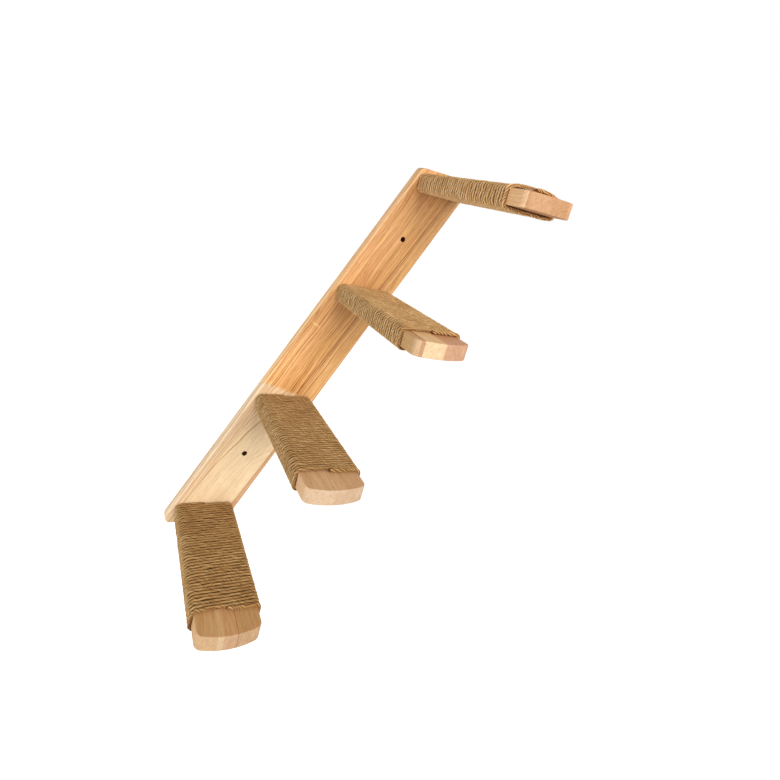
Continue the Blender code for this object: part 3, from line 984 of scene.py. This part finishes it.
# %% Wood of the treads
TREAD_FIGURE = 0.8
TREAD_STAVES = {
    1: [(-70, "#c39461", -60, 40, 0.05, 0.35), (-16, "#cca06c", 90, 50, 0.02, 0.3),
        (-9.4, "#c29160", 70, 60, 0.1, 0.4), (8.5, "#a3653e", 90, 50, 0.0, 0.3),
        (9.8, "#bf905e", -80, 50, -0.03, 0.4)],
    2: [(-70, "#cea375", 70, 50, 0.05, 0.2), (4, "#cca073", -70, 60, 0.02, 0.2)],
    3: [(-70, "#c09460", 80, 50, 0.02, 0.3), (-41, "#cfa16d", 80, 50, 0.02, 0.3),
        (-36, "#b98559", 60, 60, 0.0, 0.4), (-31, "#e0b37c", 90, 60, 0.1, 0.3),
        (-1, "#c89064", -60, 50, 0.02, 0.5)],
    4: [(-70, "#deac78", 70, 40, 0.05, 0.3), (-39, "#bf8653", 60, 60, 0.1, 0.4),
        (30, "#ce8f5c", -60, 60, 0.02, 0.4)]}


def one_length(tree, straight, rings, staves):
    """Tint, rings and strength of figure of staves that run from end to end."""
    return stave_tint(tree, straight, staves), growth_rings(tree, rings, staves), TREAD_FIGURE


for number, piece in treads.items():
    low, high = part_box(f"tread_{number}")
    middle = (low + high) / 2 / MM
    piece.data.materials.append(rubberwood(f"glued rubberwood tread {number}", (-math.pi / 2, 0, 0),
                                           (-middle.x, -middle.z, 0), one_length, TREAD_STAVES[number]))
print("wood on", len(treads), "treads")

# %% [markdown]
# ## Wood of the board
# Short staves are joined end to end by a finger joint, a row of glued teeth, so the board's lower part is
# paler and plainer than the rest. The upper part grows paler and bolder towards the joint. A scar crosses
# the grain above it. A paler strip along the board's rounded left edge is painted light, as if it were lit
# from the left, more above the joint than below. These belong to this one board and its light, so each is a
# small function that changes the tint or the rings of its staves.

# %% Finger joint, scar and painted edge light
JOINT_HEIGHT = -93
TOOTH_WIDTH = 1.6
TOOTH_SLOPE = 4.5
JOINT_TILT = 0.16
SCAR_PLACE = (-38, 28)
SCAR_HALF = (12, 1.8)
SCAR_LIGHT = 0.42
# A paler strip of painted light on the board's rounded left edge, as if lit from the left.
EDGE_LIGHT_SPAN = (2.0, 0.4)
EDGE_LIGHT_CHANGE = (0.20, 0.35, 0.58)
EDGE_LIGHT_BELOW = 0.25


def below_joint(tree, grain):
    """One below the finger joint and nothing above it: the height plus a zigzag across, against a limit."""
    place = add_node(tree, "SeparateXYZ", [grain])
    teeth = add_node(tree, "Math", [place.outputs["X"], TOOTH_WIDTH], operation="PINGPONG")
    height = add_node(tree, "Math", [teeth, TOOTH_SLOPE, place.outputs["Z"]], operation="MULTIPLY_ADD")
    height = add_node(tree, "Math", [place.outputs["X"], -JOINT_TILT, height], operation="MULTIPLY_ADD")
    limit = JOINT_HEIGHT + TOOTH_WIDTH * TOOTH_SLOPE / 2
    return add_node(tree, "Math", [height, limit], operation="LESS_THAN")


def scarred(tree, grain, rings):
    """The rings' height with a pale spindle added, by the distance from its middle in its own half sizes."""
    (x, z), (half_x, half_z) = SCAR_PLACE, SCAR_HALF
    away = add_node(tree, "VectorMath", [
        grain, (1 / half_x, 0, 1 / half_z), (-x / half_x, 0, -z / half_z)], operation="MULTIPLY_ADD")
    away = add_node(tree, "VectorMath", [away], operation="LENGTH")
    scar = add_node(tree, "MapRange", {"Value": away.outputs["Value"], "From Min": 1, "From Max": 0.4,
                                       "To Max": SCAR_LIGHT})
    return add_node(tree, "Math", [rings, scar], operation="ADD")


def painted_edge_light(tree, tint, below):
    """The tint with painted light on the board's rounded left edge: paler and yellower, and a quarter as much
    below the joint.

    The way across the leaning board is x times the cosine of the lean less z times its sine.
    """
    place = add_node(tree, "TexCoord")
    across = add_node(tree, "VectorMath", [
        place.outputs["Object"], (math.cos(LEAN) / MM, 0, -math.sin(LEAN) / MM)],
        operation="DOT_PRODUCT")
    start, full = [edge - BOARD_HALF / MM for edge in EDGE_LIGHT_SPAN]
    share = add_node(tree, "MapRange", {"Value": across.outputs["Value"], "From Min": start,
                                        "From Max": full})
    most = add_node(tree, "Mix", {0: below, 2: 1.0, 3: EDGE_LIGHT_BELOW})
    share = add_node(tree, "Math", [share, most], operation="MULTIPLY")
    factor = add_node(tree, "VectorMath", [share, EDGE_LIGHT_CHANGE, (1, 1, 1)], operation="MULTIPLY_ADD")
    return add_node(tree, "VectorMath", [tint, factor], operation="MULTIPLY")


print("teeth of the finger joint, mm:", TOOTH_WIDTH * TOOTH_SLOPE, "long")

# %% Wood of the board
GRAIN_TILT = math.radians(2)
UPPER_STAVES = [
    (-70, "#d89e65", -95, 60, 0.05, 1.4), (-41, "#e3aa6e", -95, 60, 0.05, 0.7),
    (-36, "#d69c62", -95, 60, 0.05, 1.4), (-13.3, "#d1995c", 85, 75, -0.04, 1.0),
    (13.2, "#cd9358", 85, 75, -0.04, 1.0), (15.2, "#935a2e", 120, 40, 0.0, 0.5),
    (16.5, "#ce9a60", 120, 40, 0.01, 1.0), (18.4, "#ad7644", 120, 40, 0.0, 0.5),
    (19.2, "#ce9a60", 120, 40, 0.01, 1.0)]
UPPER_LINES = [(103, 0.25), (118, 0.3)]
UPPER_FIGURE = 1.35
LOWER_STAVES = [
    (-70, "#e1bd93", -150, 60, 0.1, 0.9), (-33, "#e7c398", -150, 60, 0.1, 0.9),
    (-26.4, "#d0a070", -150, 60, 0.1, 0.5), (-25.6, "#f5d5a8", 53, 112, 0.272, 0.25),
    (49, "#d0a175", 150, 70, 0.0, 0.9)]
LOWER_LINES = [(80, 0.42), (86, 0.16), (90.5, 0.34), (97, 0.22), (103, 0.16)]
LOWER_FIGURE = 0.55


def two_lengths(tree, straight, rings, upper, lower):
    """Tint, rings and strength of figure of staves that meet at the finger joint."""
    below = below_joint(tree, straight)
    height = add_node(tree, "SeparateXYZ", [straight]).outputs["Z"]
    pale = add_node(tree, "MapRange", {"Value": height, "From Min": 140, "From Max": -60,
                                       "To Min": 1.0, "To Max": 1.18})
    bold = add_node(tree, "MapRange", {"Value": height, "From Min": 150, "From Max": 70,
                                       "To Min": 0.6, "To Max": 1.25})
    high_tint = add_node(tree, "VectorMath", [stave_tint(tree, straight, upper), pale], operation="MULTIPLY")
    tint = add_node(tree, "Mix", {0: below, 6: high_tint, 7: stave_tint(tree, straight, lower)},
                    data_type="RGBA").outputs[2]
    high_rings = add_node(tree, "Math", [growth_rings(tree, rings, upper, UPPER_LINES), bold],
                          operation="MULTIPLY")
    low_rings = growth_rings(tree, rings, lower, LOWER_LINES)
    height = add_node(tree, "Mix", {0: below, 2: high_rings, 3: low_rings})
    strength = add_node(tree, "Mix", {0: below, 2: UPPER_FIGURE, 3: LOWER_FIGURE})
    # The tint gets painted light along the board's left edge.
    return painted_edge_light(tree, tint, below), scarred(tree, straight, height), strength


# The grain runs 2 degrees steeper than the board's long sides.
board.data.materials.append(rubberwood("glued rubberwood board", (0, -LEAN - GRAIN_TILT, 0), (0, 0, 0),
                                       two_lengths, UPPER_STAVES, LOWER_STAVES))
print("staves in the board:", len(UPPER_STAVES), "above the joint and", len(LOWER_STAVES), "below")

# %% [markdown]
# ## Steel finish
# The bolts and the threaded inserts are zinc-plated steel. Only the bolt heads show, at the board's back.
# They could be plain grey metal, but plating has a fine spangle that changes tone and gloss a little, so one
# fine noise drives both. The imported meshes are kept, because a bolt head this small needs no more detail.

# %% Steel
SPANGLE_PER_METRE = 900.0

steel, tree, shader = new_material("zinc-plated steel")
place = add_node(tree, "TexCoord")
spangle = add_node(tree, "TexNoise", {"Vector": place.outputs["Object"], "Scale": SPANGLE_PER_METRE,
                                      "Detail": 2.0})
tone = add_node(tree, "ValToRGB", {"Fac": spangle}, [
    (0.3, hex_colour("#a9aaab")), (0.7, hex_colour("#c6c7c4"))])
rough = add_node(tree, "MapRange", {"Value": spangle, "To Min": 0.28, "To Max": 0.42})
feed(tree, shader, {"Base Color": tone, "Roughness": rough, "Metallic": 1.0})
fasteners = [node for name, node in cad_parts.items() if name.startswith(("bolt_", "insert_"))]
for node in fasteners:
    for slot in node.material_slots:
        slot.material = steel
print("steel on", len(fasteners), "fasteners")
